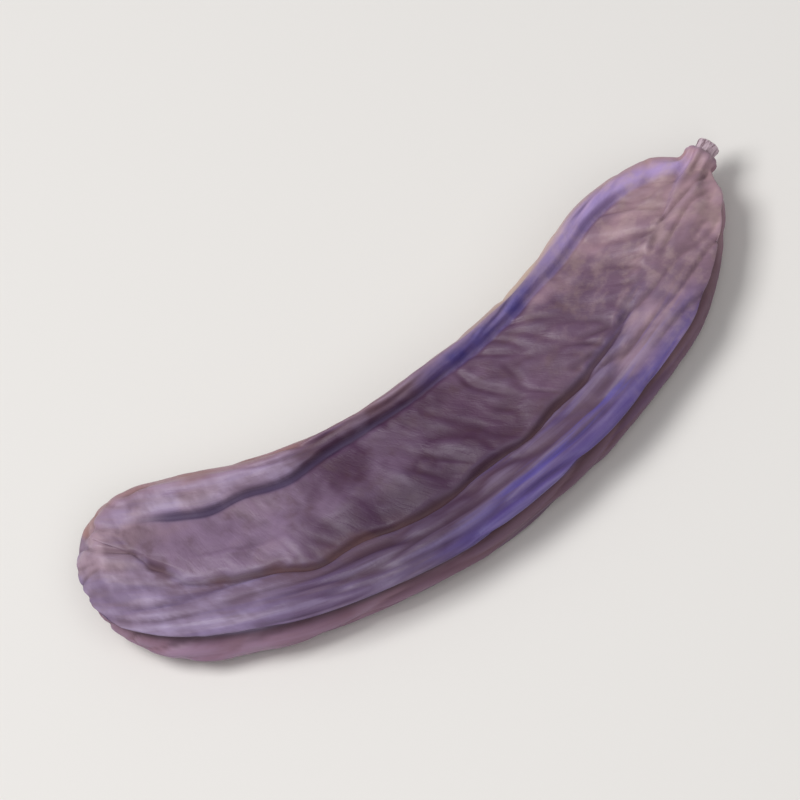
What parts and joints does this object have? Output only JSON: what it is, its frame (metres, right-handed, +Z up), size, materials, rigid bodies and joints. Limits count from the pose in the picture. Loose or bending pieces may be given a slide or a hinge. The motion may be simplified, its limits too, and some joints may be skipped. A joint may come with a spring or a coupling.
{
  "type": "carob pod",
  "caption": "Dried carob pod lying on its broad side: a flat, curved legume with double-corded margins round a sunken, wrinkled field, a blunt beaked end and a short stalk stub.",
  "frame": {"origin": "on the surface that the pod lies on, under the middle of its bounding box", "axes": "+X along the pod's chord, from the blunt blossom end to the stalk end; +Y across it, towards the hollow side of the curve; +Z up, out of the upper broad side"},
  "size_m": [0.109, 0.0412, 0.0108],
  "materials": {
    "dried_skin": "satin"
  },
  "bodies": {
    "root": {"carob_pod": "dried_skin"}
  },
  "joints": []
}
